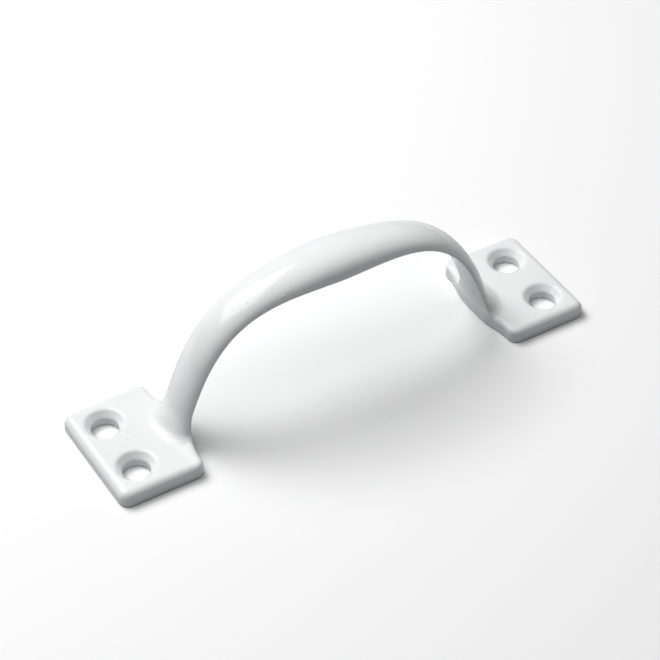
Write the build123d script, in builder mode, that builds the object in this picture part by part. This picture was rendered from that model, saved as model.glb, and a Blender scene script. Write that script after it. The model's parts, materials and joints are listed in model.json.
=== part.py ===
from build123d import *
import os

# Sash lift handle: a bowed grip between two countersunk foot plates.
#
# X runs along the handle, Y across it, and Z away from the sash. The undersides of both
# feet lie on Z = 0, and the handle is centred on X = 0 and Y = 0.

# ---------------------------------------------------------------- driving dimensions (mm)

overall_length = 114.0

foot_length = 19.2
foot_width = 28.3
foot_thickness = 3.4
foot_corner_radius = 2.2
foot_rim_radius = 1.8

screw_hole_spacing = 14.1
screw_hole_from_end = 6.7
screw_hole_diameter = 5.9
countersink_diameter = 8.7
countersink_angle = 90

# The bow: the curve of the grip's inner face, from the root of a leg to the crown. The leg
# stands a little proud of the foot's inner edge.
leg_overhang = 0.6
crown_height = 30.1
root_lean = 7.8
root_rise = 26.1
crown_reach = 19.7

# The D section: a rounded outer side, and an inner face that is slightly full.
leg_width = 9.7
leg_depth = 2.5
crown_width = 12.6
crown_depth = 4.2
inner_face_bulge = 0.45
widening_delay = 2.4

root_fillet_radius = 3.0

# Stations run along the bow: -1 at the left root, 0 at the crown, 1 at the right root.
joint_station = 0.84
stub_stations = (0.94, 0.89, joint_station)
grip_section_count = 17

# ---------------------------------------------------------------- derived places

foot_outer_x = -overall_length / 2
foot_inner_x = foot_outer_x + foot_length
foot_centre_x = (foot_outer_x + foot_inner_x) / 2
screw_row_x = foot_outer_x + screw_hole_from_end
root_x = foot_inner_x + leg_overhang

half_bow = Edge.make_bezier(
    (root_x, 0, foot_thickness),
    (root_x + root_lean, 0, foot_thickness + root_rise),
    (-crown_reach, 0, crown_height),
    (0, 0, crown_height),
)


# ---------------------------------------------------------------- grip sections

def bow_plane(station):
    """The plane square to the bow at a station, with its Y axis pointing outwards."""
    distance = (1 - abs(station)) * half_bow.length
    point = half_bow.position_at(distance, PositionMode.LENGTH)
    heading = half_bow.tangent_at(distance, PositionMode.LENGTH)
    if station > 0:
        point = Vector(-point.X, 0, point.Z)
        heading = Vector(heading.X, 0, -heading.Z)
    return Plane(origin=point, x_dir=(0, 1, 0), z_dir=heading)


def d_section(plane, width, depth):
    """A half ellipse on the outer side, closed by a shallow arc on the inner side."""
    with BuildSketch(plane) as section:
        with BuildLine():
            EllipticalCenterArc((0, 0), width / 2, depth, start_angle=0, arc_size=180)
            ThreePointArc((-width / 2, 0), (0, -inner_face_bulge), (width / 2, 0))
        make_face()
    return section.sketch


def grip_section(station):
    """The D section at a station, growing smoothly from leg size to crown size."""
    rise = (1 - abs(station)) ** widening_delay
    blend = rise * rise * (3 - 2 * rise)
    width = leg_width + (crown_width - leg_width) * blend
    depth = leg_depth + (crown_depth - leg_depth) * blend
    return d_section(bow_plane(station), width, depth)


def stub_sections():
    """The length of leg cast with the left foot: up through the plate, then along the bow."""
    sections = []
    for height in (0, foot_thickness / 2):
        upright = Plane(origin=(root_x, 0, height), x_dir=(0, 1, 0), z_dir=(0, 0, 1))
        sections.append(d_section(upright, leg_width, leg_depth))
    for station in stub_stations:
        sections.append(grip_section(-station))
    return sections


# ---------------------------------------------------------------- left foot

def make_foot_left():
    # The plate starts too long, so that the root fillet can run right round the leg.
    spare_length = 3 * root_fillet_radius
    long_plate_length = foot_length + spare_length

    with BuildPart() as foot:
        with BuildSketch(Plane.XY):
            with Locations((foot_outer_x + long_plate_length / 2, 0)):
                Rectangle(long_plate_length, foot_width)
        extrude(amount=foot_thickness)
        loft(stub_sections())

        # Root fillet, round the outline of the leg on the top face.
        top_edges = foot.edges().filter_by_position(Axis.Z, foot_thickness, foot_thickness)
        root_edges = top_edges.filter_by(GeomType.BSPLINE)
        fillet(root_edges, radius=root_fillet_radius)

        # Rounded outer corners, then the rounded rim from one side round to the other.
        corner_edges = foot.edges().filter_by(Axis.Z).group_by(Axis.X)[0]
        fillet(corner_edges, radius=foot_corner_radius)
        top_edges = foot.edges().filter_by_position(Axis.Z, foot_thickness, foot_thickness)
        fillet(top_edges.sort_by(Axis.X)[0], radius=foot_rim_radius)

        # Cut to the true outline, and put back the leg that leans past the inner edge.
        with BuildSketch(Plane.XY):
            with Locations((foot_centre_x, 0)):
                RectangleRounded(foot_length, foot_width, foot_corner_radius)
        extrude(amount=crown_height, mode=Mode.INTERSECT)
        loft(stub_sections())

        # Two countersunk screw holes, side by side across the foot.
        with Locations(Plane(origin=(screw_row_x, 0, foot_thickness))):
            with GridLocations(0, screw_hole_spacing, 1, 2):
                CounterSinkHole(
                    radius=screw_hole_diameter / 2,
                    counter_sink_radius=countersink_diameter / 2,
                    counter_sink_angle=countersink_angle,
                )
    return foot


# ---------------------------------------------------------------- right foot

def make_foot_right(left_foot):
    with BuildPart() as foot:
        mirror(left_foot.part, about=Plane.YZ)
    return foot


# ---------------------------------------------------------------- grip bar

def make_grip_bar():
    """The bow between the two feet, lofted through evenly spaced D sections."""
    sections = []
    for index in range(grip_section_count):
        fraction = index / (grip_section_count - 1)
        sections.append(grip_section(joint_station * (2 * fraction - 1)))
    with BuildPart() as grip:
        loft(sections)
    return grip


# ---------------------------------------------------------------- build and export

os.makedirs("parts", exist_ok=True)

foot_left = make_foot_left()
foot_left.part.label = "foot_left"
export_step(foot_left.part, "parts/foot_left.step")

foot_right = make_foot_right(foot_left)
foot_right.part.label = "foot_right"
export_step(foot_right.part, "parts/foot_right.step")

grip_bar = make_grip_bar()
grip_bar.part.label = "grip_bar"
export_step(grip_bar.part, "parts/grip_bar.step")
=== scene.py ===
"""Looks for the sash lift handle: one coat of glossy white enamel over a cast bow handle."""

import json
import math

import bpy
import numpy as np
from mathutils import Matrix, Vector


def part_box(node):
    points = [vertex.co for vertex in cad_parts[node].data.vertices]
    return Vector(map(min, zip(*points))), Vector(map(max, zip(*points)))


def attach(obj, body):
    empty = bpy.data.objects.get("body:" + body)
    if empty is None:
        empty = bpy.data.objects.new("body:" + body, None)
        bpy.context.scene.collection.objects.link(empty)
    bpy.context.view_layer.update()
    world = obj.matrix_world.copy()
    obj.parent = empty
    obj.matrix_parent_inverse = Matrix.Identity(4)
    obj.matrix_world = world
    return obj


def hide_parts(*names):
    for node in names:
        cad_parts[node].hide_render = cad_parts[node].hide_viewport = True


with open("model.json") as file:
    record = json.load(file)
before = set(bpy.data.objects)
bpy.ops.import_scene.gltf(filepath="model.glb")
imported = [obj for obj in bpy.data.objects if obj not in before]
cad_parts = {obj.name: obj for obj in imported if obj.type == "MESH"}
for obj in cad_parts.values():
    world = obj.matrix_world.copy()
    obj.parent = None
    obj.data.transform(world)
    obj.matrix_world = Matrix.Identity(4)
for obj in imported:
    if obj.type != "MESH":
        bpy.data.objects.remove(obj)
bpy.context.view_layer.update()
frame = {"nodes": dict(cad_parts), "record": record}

# ---------------------------------------------------------------- sizes (millimetres)

MM = 0.001
NODES = ("foot_left", "grip_bar", "foot_right")

foot_low, foot_high = (np.array(corner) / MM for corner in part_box("foot_left"))
bow_high = np.array(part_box("grip_bar")[1]) / MM
screw_holes = next(m for m in frame["record"]["mounts"] if m["name"] == "screw_holes")

# Foot plate. Places are for the right-hand half, because the handle is symmetric.
FOOT_LENGTH = 19.2
FOOT_THICKNESS = 3.4
FOOT_CORNER_RADIUS = 2.2
OUTER_RIM_RADIUS = 1.8
INNER_RIM_RADIUS = 1.1
RIM_CHANGE_LENGTH = 5.0
UNDERSIDE_RADIUS = 0.3
HALF_LENGTH = -foot_low[0]
HALF_WIDTH = foot_high[1]
INNER_EDGE = HALF_LENGTH - FOOT_LENGTH

# Screw holes, from the record's mount.
HOLE_RADIUS = screw_holes["dims"]["hole_r_mm"]
HOLE_X = screw_holes["dims"]["spacing_x_mm"] / 2
HOLE_Y = screw_holes["dims"]["spacing_y_mm"] / 2
COUNTERSINK_RADIUS = 4.35
HOLE_RIM_RADIUS = 0.3
HOLE_OVERSHOOT = 1.0

# The bow follows the curve of the grip's inner face.
LEG_OVERHANG = 0.6
ROOT_LEAN = 7.8
ROOT_RISE = 26.1
CROWN_REACH = 19.7
LEG_WIDTH, CROWN_WIDTH = 9.7, 2 * bow_high[1]
LEG_DEPTH, CROWN_DEPTH = 2.5, 4.2
CROWN_HEIGHT = bow_high[2] - CROWN_DEPTH
INNER_FACE_BULGE = 0.45
WIDENING_DELAY = 2.4
PARTING_RADIUS = 0.35

# Power of the round side's outline: an ellipse on the legs, and a little fuller at the crown.
LEG_POWER, CROWN_POWER = 2.0, 2.35

# Root of each leg: a flare, a fillet, and a swell of the foot's inner side.
ROOT_FILLET_RADIUS = 1.2
ROOT_FLARE_HEIGHT = 5.0
ROOT_FLARE_OUTSIDE, ROOT_FLARE_INSIDE = 1.5, 0.7
ROOT_SWELL = 1.2
ROOT_SWELL_START, ROOT_SWELL_END = 4.0, 11.5

# Each pass over the skin has a voxel, and how far each of its rounds evens out the mesh.
COARSE_VOXEL, COARSE_EVENINGS = 0.45, (0.5, 0.5, 0.5, 0.3)
FINE_VOXEL, FINE_EVENINGS = 0.265, (0.5, 0.5, 0.5, 0.0)
GRADIENT_STEP = 0.01
SMALLEST_SLOPE = 0.05


# ---------------------------------------------------------------- distance fields

def eased(share):
    """Share from 0 to 1 that leaves and arrives level."""
    return share * share * (3 - 2 * share)


def rounded_both(a, b, radius):
    """Distance to what lies inside both shapes, with the edge between them rounded."""
    outside = np.hypot(np.maximum(a + radius, 0), np.maximum(b + radius, 0))
    return np.minimum(np.maximum(a, b), -radius) + outside


def filleted_either(a, b, radius):
    """Distance to what lies inside either shape, with the corner between them filleted."""
    inside = np.hypot(np.maximum(radius - a, 0), np.maximum(radius - b, 0))
    return np.maximum(np.minimum(a, b), radius) - inside


def bezier(t, points):
    """Point, first and second derivative of a cubic Bezier curve at each t."""
    p0, p1, p2, p3 = (np.array(p, float) for p in points)
    t = t[:, None]
    u = 1 - t
    point = u**3 * p0 + 3 * u**2 * t * p1 + 3 * u * t**2 * p2 + t**3 * p3
    first = 3 * u**2 * (p1 - p0) + 6 * u * t * (p2 - p1) + 3 * t**2 * (p3 - p2)
    second = 6 * u * (p2 - 2 * p1 + p0) + 6 * t * (p3 - 2 * p2 + p1)
    return point, first, second


ROOT_X = INNER_EDGE - LEG_OVERHANG
BOW = (
    (ROOT_X, FOOT_THICKNESS),
    (ROOT_X - ROOT_LEAN, FOOT_THICKNESS + ROOT_RISE),
    (CROWN_REACH, CROWN_HEIGHT),
    (0, CROWN_HEIGHT),
)
BOW_STATIONS = 61
BOW_T = np.linspace(0, 1, BOW_STATIONS)
BOW_POINTS = bezier(BOW_T, BOW)[0]
BOW_LENGTHS = np.concatenate(
    ([0], np.cumsum(np.linalg.norm(np.diff(BOW_POINTS, axis=0), axis=1)))
)
POINTS_AT_ONCE = 20000
NEWTON_ROUNDS = 4


def nearest_on_bow(point):
    """Parameter of the bow's nearest place to each (x, z), from the stations and then Newton."""
    t = np.empty(len(point))
    for part in np.array_split(np.arange(len(point)), max(1, len(point) // POINTS_AT_ONCE)):
        gaps = point[part, None, :] - BOW_POINTS[None]
        t[part] = BOW_T[np.argmin((gaps**2).sum(-1), axis=1)]
    for _ in range(NEWTON_ROUNDS):
        near, first, second = bezier(t, BOW)
        gap = near - point
        slope = (first**2).sum(-1) + (gap * second).sum(-1)
        step = (gap * first).sum(-1) / np.where(slope > 1, slope, 1)
        t = np.clip(t - step, 0, 1)
    return t


def round_side_distance(y, offset, half, depth, power):
    """Distance to the outer side of the D, which is half of a superellipse."""
    aside, above = np.abs(y / half), np.abs(offset / depth)
    scaled = np.maximum((aside**power + above**power) ** (1 / power), 1e-3)
    slope = np.hypot((aside / scaled) ** (power - 1) / half, (above / scaled) ** (power - 1) / depth)
    return (scaled - 1) / np.maximum(slope, 1e-6)


def inner_face_distance(y, offset, half):
    """Distance to the inner face of the D, which is slightly full."""
    lean = 2 * INNER_FACE_BULGE * y / half**2
    inner = -offset - INNER_FACE_BULGE * (1 - (y / half) ** 2)
    return inner / np.sqrt(1 + lean**2)


def bow_distance(x, y, z):
    """Distance to the grip and its legs, whose section is a D."""
    point = np.stack((x, z), -1)
    t = nearest_on_bow(point)
    near, first, _ = bezier(t, BOW)
    heading = first / np.linalg.norm(first, axis=1)[:, None]
    outward = np.stack((heading[:, 1], -heading[:, 0]), -1)
    offset = ((point - near) * outward).sum(-1)

    run = np.interp(t, BOW_T, BOW_LENGTHS) / BOW_LENGTHS[-1]
    blend = eased(run**WIDENING_DELAY)
    half = (LEG_WIDTH + (CROWN_WIDTH - LEG_WIDTH) * blend) / 2
    depth = LEG_DEPTH + (CROWN_DEPTH - LEG_DEPTH) * blend
    power = LEG_POWER + (CROWN_POWER - LEG_POWER) * blend

    # The leg flares out towards the foot, mostly on its round side.
    flare = 1 - np.clip((z - FOOT_THICKNESS) / ROOT_FLARE_HEIGHT, 0, 1)
    flare = flare * flare
    outer = round_side_distance(y, offset, half, depth, power) - ROOT_FLARE_OUTSIDE * flare
    inner = inner_face_distance(y, offset, half) - ROOT_FLARE_INSIDE * flare
    return rounded_both(outer, inner, PARTING_RADIUS)


def plan_distance(x, y):
    """Distance to the outline of a foot, whose inner side swells to meet the leg."""
    swell = np.clip((ROOT_SWELL_END - np.abs(y)) / (ROOT_SWELL_END - ROOT_SWELL_START), 0, 1)
    inner_side = INNER_EDGE - ROOT_SWELL * eased(swell) - x
    across = np.maximum(x - HALF_LENGTH, inner_side) + FOOT_CORNER_RADIUS
    along = np.abs(y) - HALF_WIDTH + FOOT_CORNER_RADIUS
    plan = np.hypot(np.maximum(across, 0), np.maximum(along, 0))
    return plan + np.minimum(np.maximum(across, along), 0) - FOOT_CORNER_RADIUS


def hole_distance(x, y, z):
    """Distance to the countersunk screw holes of one foot, which end just above it."""
    radial = np.hypot(x - HOLE_X, np.abs(y) - HOLE_Y)
    cone_start = FOOT_THICKNESS - (COUNTERSINK_RADIUS - HOLE_RADIUS)
    cone = (radial - HOLE_RADIUS - (z - cone_start)) / math.sqrt(2)
    top = z - FOOT_THICKNESS - HOLE_OVERSHOOT
    return np.maximum(np.minimum(radial - HOLE_RADIUS, cone), top)


def handle_distance(points):
    """Distance to the whole handle, in millimetres, at each row of points."""
    x, y, z = np.abs(points[:, 0]), points[:, 1], points[:, 2]
    rim = np.interp(x - INNER_EDGE, (0, RIM_CHANGE_LENGTH), (INNER_RIM_RADIUS, OUTER_RIM_RADIUS))
    plate = rounded_both(z - FOOT_THICKNESS, plan_distance(x, y), rim)
    body = filleted_either(plate, bow_distance(x, y, z), ROOT_FILLET_RADIUS)
    body = rounded_both(body, -z, UNDERSIDE_RADIUS)
    return rounded_both(body, -hole_distance(x, y, z), HOLE_RIM_RADIUS)


def distance_and_gradient(points):
    here = handle_distance(points)
    ahead = [handle_distance(points + GRADIENT_STEP * axis) for axis in np.eye(3)]
    return here, (np.stack(ahead, -1) - here[:, None]) / GRADIENT_STEP


# ---------------------------------------------------------------- skin

def joined_copy(nodes, name):
    """One mesh object holding copies of the CAD nodes' meshes."""
    vertices, faces = [], []
    for node in nodes:
        mesh = frame["nodes"][node].data
        start = len(vertices)
        vertices += [tuple(v.co) for v in mesh.vertices]
        faces += [tuple(start + i for i in p.vertices) for p in mesh.polygons]
    mesh = bpy.data.meshes.new(name)
    mesh.from_pydata(vertices, [], faces)
    piece = bpy.data.objects.new(name, mesh)
    bpy.context.scene.collection.objects.link(piece)
    return piece


def remesh_by_voxels(piece, voxel):
    remesh = piece.modifiers.new("remesh", "REMESH")
    remesh.mode = "VOXEL"
    remesh.voxel_size = voxel
    remesh.adaptivity = 0
    bpy.context.view_layer.update()
    depsgraph = bpy.context.evaluated_depsgraph_get()
    mesh = bpy.data.meshes.new_from_object(piece.evaluated_get(depsgraph))
    piece.modifiers.clear()
    piece.data = mesh


def neighbour_mean(points, edges):
    total = np.zeros_like(points)
    count = np.zeros(len(points))
    for a, b in ((0, 1), (1, 0)):
        np.add.at(total, edges[:, a], points[edges[:, b]])
        np.add.at(count, edges[:, a], 1)
    return total / count[:, None]


def draw_onto_handle(piece, evenings):
    """Evens out the mesh along the surface, and moves it onto the distance field."""
    mesh = piece.data
    points = np.empty(len(mesh.vertices) * 3)
    mesh.vertices.foreach_get("co", points)
    points = points.reshape(-1, 3) / MM
    edges = np.empty(len(mesh.edges) * 2, int)
    mesh.edges.foreach_get("vertices", edges)
    edges = edges.reshape(-1, 2)
    for evening in evenings:
        points += evening * (neighbour_mean(points, edges) - points)
        distance, gradient = distance_and_gradient(points)
        size = np.maximum((gradient**2).sum(-1), SMALLEST_SLOPE)
        points -= gradient * (distance / size)[:, None]
    mesh.vertices.foreach_set("co", (points * MM).ravel())
    mesh.update()


def enamel_skin():
    """The cast surface under its coat. A coarse pass finds the shape, and a fine one draws it."""
    skin = joined_copy(NODES, "enamel_skin")
    for voxel, evenings in ((COARSE_VOXEL, COARSE_EVENINGS), (FINE_VOXEL, FINE_EVENINGS)):
        remesh_by_voxels(skin, voxel * MM)
        draw_onto_handle(skin, evenings)
    skin.data.polygons.foreach_set("use_smooth", [True] * len(skin.data.polygons))
    return skin


skin = enamel_skin()
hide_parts(*NODES)
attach(skin, "root")


# ---------------------------------------------------------------- enamel

# Noise scales are per metre, and bump heights are in metres.
ENAMEL_THIN = (0.80, 0.81, 0.815, 1)
ENAMEL_THICK = (0.845, 0.85, 0.85, 1)
ENAMEL_IOR = 1.6
SMOOTHEST, ROUGHEST = 0.07, 0.13
NOISE_LOW, NOISE_HIGH = 0.3, 0.7
THICKNESS_SCALE, GLOSS_SCALE = 90, 240
WAVE_SCALE, WAVE_HEIGHT = 140, 0.00003
NIB_SCALE, NIB_HEIGHT, NIB_REACH = 210, 0.00012, 0.06
PEEL_SCALE, PEEL_HEIGHT = 1400, 0.000005


def noise(tree, place, scale, detail):
    made = tree.nodes.new("ShaderNodeTexNoise")
    made.inputs["Scale"].default_value = scale
    made.inputs["Detail"].default_value = detail
    tree.links.new(place, made.inputs["Vector"])
    return made.outputs["Fac"]


def cell_distance(tree, place, scale):
    """Distance to the nearest of many scattered points, as a share of their spacing."""
    made = tree.nodes.new("ShaderNodeTexVoronoi")
    made.inputs["Scale"].default_value = scale
    tree.links.new(place, made.inputs["Vector"])
    return made.outputs["Distance"]


def ranged(tree, source, low, high, to_low, to_high):
    made = tree.nodes.new("ShaderNodeMapRange")
    for name, value in (
        ("From Min", low),
        ("From Max", high),
        ("To Min", to_low),
        ("To Max", to_high),
    ):
        made.inputs[name].default_value = value
    tree.links.new(source, made.inputs["Value"])
    return made.outputs["Result"]


def mixed(tree, factor, first, second):
    made = tree.nodes.new("ShaderNodeMix")
    made.data_type = "RGBA"
    made.inputs["A"].default_value = first
    made.inputs["B"].default_value = second
    tree.links.new(factor, made.inputs["Factor"])
    return made.outputs["Result"]


def bumped(tree, height, distance, before=None):
    made = tree.nodes.new("ShaderNodeBump")
    made.inputs["Strength"].default_value = 1.0
    made.inputs["Distance"].default_value = distance
    tree.links.new(height, made.inputs["Height"])
    if before is not None:
        tree.links.new(before, made.inputs["Normal"])
    return made.outputs["Normal"]


def white_enamel():
    material = bpy.data.materials.new("white_enamel")
    material.use_nodes = True
    tree = material.node_tree
    shader = tree.nodes["Principled BSDF"]
    shader.inputs["IOR"].default_value = ENAMEL_IOR
    shader.inputs["Specular IOR Level"].default_value = 0.5
    place = tree.nodes.new("ShaderNodeTexCoord").outputs["Object"]

    # The coat is a shade cooler and greyer where it ran thin.
    thickness = noise(tree, place, THICKNESS_SCALE, 3.0)
    thickness = ranged(tree, thickness, NOISE_LOW, NOISE_HIGH, 0.0, 1.0)
    colour = mixed(tree, thickness, ENAMEL_THIN, ENAMEL_THICK)
    tree.links.new(colour, shader.inputs["Base Color"])

    # Gloss varies a little over the coat.
    gloss = noise(tree, place, GLOSS_SCALE, 3.0)
    gloss = ranged(tree, gloss, NOISE_LOW, NOISE_HIGH, SMOOTHEST, ROUGHEST)
    tree.links.new(gloss, shader.inputs["Roughness"])

    # The casting's slight waviness, a few nibs under the coat, then its orange peel.
    wavy = bumped(tree, noise(tree, place, WAVE_SCALE, 1.0), WAVE_HEIGHT)
    grit = ranged(tree, cell_distance(tree, place, NIB_SCALE), 0.0, NIB_REACH, 1.0, 0.0)
    nibs = bumped(tree, grit, NIB_HEIGHT, wavy)
    peel = bumped(tree, noise(tree, place, PEEL_SCALE, 1.0), PEEL_HEIGHT, nibs)
    tree.links.new(peel, shader.inputs["Normal"])
    return material


skin.data.materials.append(white_enamel())


# ---------------------------------------------------------------- stage (metres and watts)

CAMERA_AZIMUTH = math.radians(-31.1)
CAMERA_ELEVATION = math.radians(42.3)
CAMERA_DISTANCE = 0.4955
CAMERA_TARGET = Vector((0.0, 0.0, 0.0114))
CAMERA_LENS, CAMERA_SENSOR = 128, 36

FLOOR_REACH = 3.0
FLOOR_TONE = (0.88, 0.88, 0.88, 1)
FLOOR_BOUNCE = (0.48, 0.51, 0.515, 1)

# Places in the studio are right of, beyond and above the handle, as the camera sees it.
KEY_PLACE, KEY_AIM = (-0.46, 0.18, 0.6), (-0.46, 0.18, 0.0)
KEY_WIDTH, KEY_HEIGHT = 0.68, 0.64
KEY_POWER = 2.9
FILL_AIM = (0.0, 0.0, 0.012)
FILL_SIZE = 0.4
FILLS = (
    ("key_middle", (-0.31, 0.25, 0.58), 3.5),
    ("top_fill", (0.02, -0.10, 0.66), 1.2),
    ("right_fill", (0.58, 0.35, 0.19), 0.6),
)


def in_studio(place):
    """World place of a place in the studio."""
    return Matrix.Rotation(CAMERA_AZIMUTH, 3, "Z") @ Vector(place)


def area_light(name, place, aim, width, height, power, roll=0.0):
    light = bpy.data.lights.new(name, "AREA")
    light.shape = "RECTANGLE"
    light.size = width
    light.size_y = height
    light.energy = power
    lamp = bpy.data.objects.new(name, light)
    bpy.context.scene.collection.objects.link(lamp)
    lamp.location = in_studio(place)
    facing = in_studio(aim) - lamp.location
    lamp.rotation_euler = facing.to_track_quat("-Z", "Y").to_euler()
    lamp.rotation_euler.rotate_axis("Z", roll)
    return lamp


def paper():
    """Paper that looks white, as in a cut-out print, but lights the handle as grey card does."""
    material = bpy.data.materials.new("paper")
    material.use_nodes = True
    tree = material.node_tree
    shader = tree.nodes["Principled BSDF"]
    shader.inputs["Roughness"].default_value = 0.9
    shader.inputs["Specular IOR Level"].default_value = 0.1
    seen_directly = tree.nodes.new("ShaderNodeLightPath").outputs["Is Camera Ray"]
    tone = mixed(tree, seen_directly, FLOOR_BOUNCE, FLOOR_TONE)
    tree.links.new(tone, shader.inputs["Base Color"])
    return material


def paper_floor():
    corners = [(-1, -1), (1, -1), (1, 1), (-1, 1)]
    mesh = bpy.data.meshes.new("floor")
    mesh.from_pydata([(FLOOR_REACH * x, FLOOR_REACH * y, 0) for x, y in corners], [], [(0, 1, 2, 3)])
    mesh.materials.append(paper())
    made = bpy.data.objects.new("floor", mesh)
    bpy.context.scene.collection.objects.link(made)
    return made


def camera_at_photo_angle():
    camera_data = bpy.data.cameras.new("camera")
    camera_data.lens = CAMERA_LENS
    camera_data.sensor_width = CAMERA_SENSOR
    made = bpy.data.objects.new("camera", camera_data)
    bpy.context.scene.collection.objects.link(made)
    back = Vector(
        (
            math.sin(CAMERA_AZIMUTH) * math.cos(CAMERA_ELEVATION),
            -math.cos(CAMERA_AZIMUTH) * math.cos(CAMERA_ELEVATION),
            math.sin(CAMERA_ELEVATION),
        )
    )
    made.location = CAMERA_TARGET + CAMERA_DISTANCE * back
    made.rotation_euler = (-back).to_track_quat("-Z", "Y").to_euler()
    return made


floor = paper_floor()

# The key hangs level, beyond the handle and to its left. Its edges show in the gloss.
area_light("key_softbox", KEY_PLACE, KEY_AIM, KEY_WIDTH, KEY_HEIGHT, KEY_POWER, CAMERA_AZIMUTH)

# The key's brighter middle and the fills only lift the shade, and stay out of the gloss.
for name, place, power in FILLS:
    fill = area_light(name, place, FILL_AIM, FILL_SIZE, FILL_SIZE, power)
    fill.visible_glossy = False

bpy.context.scene.view_settings.view_transform = "Standard"
bpy.context.scene.camera = camera_at_photo_angle()

bpy.context.view_layer.update()
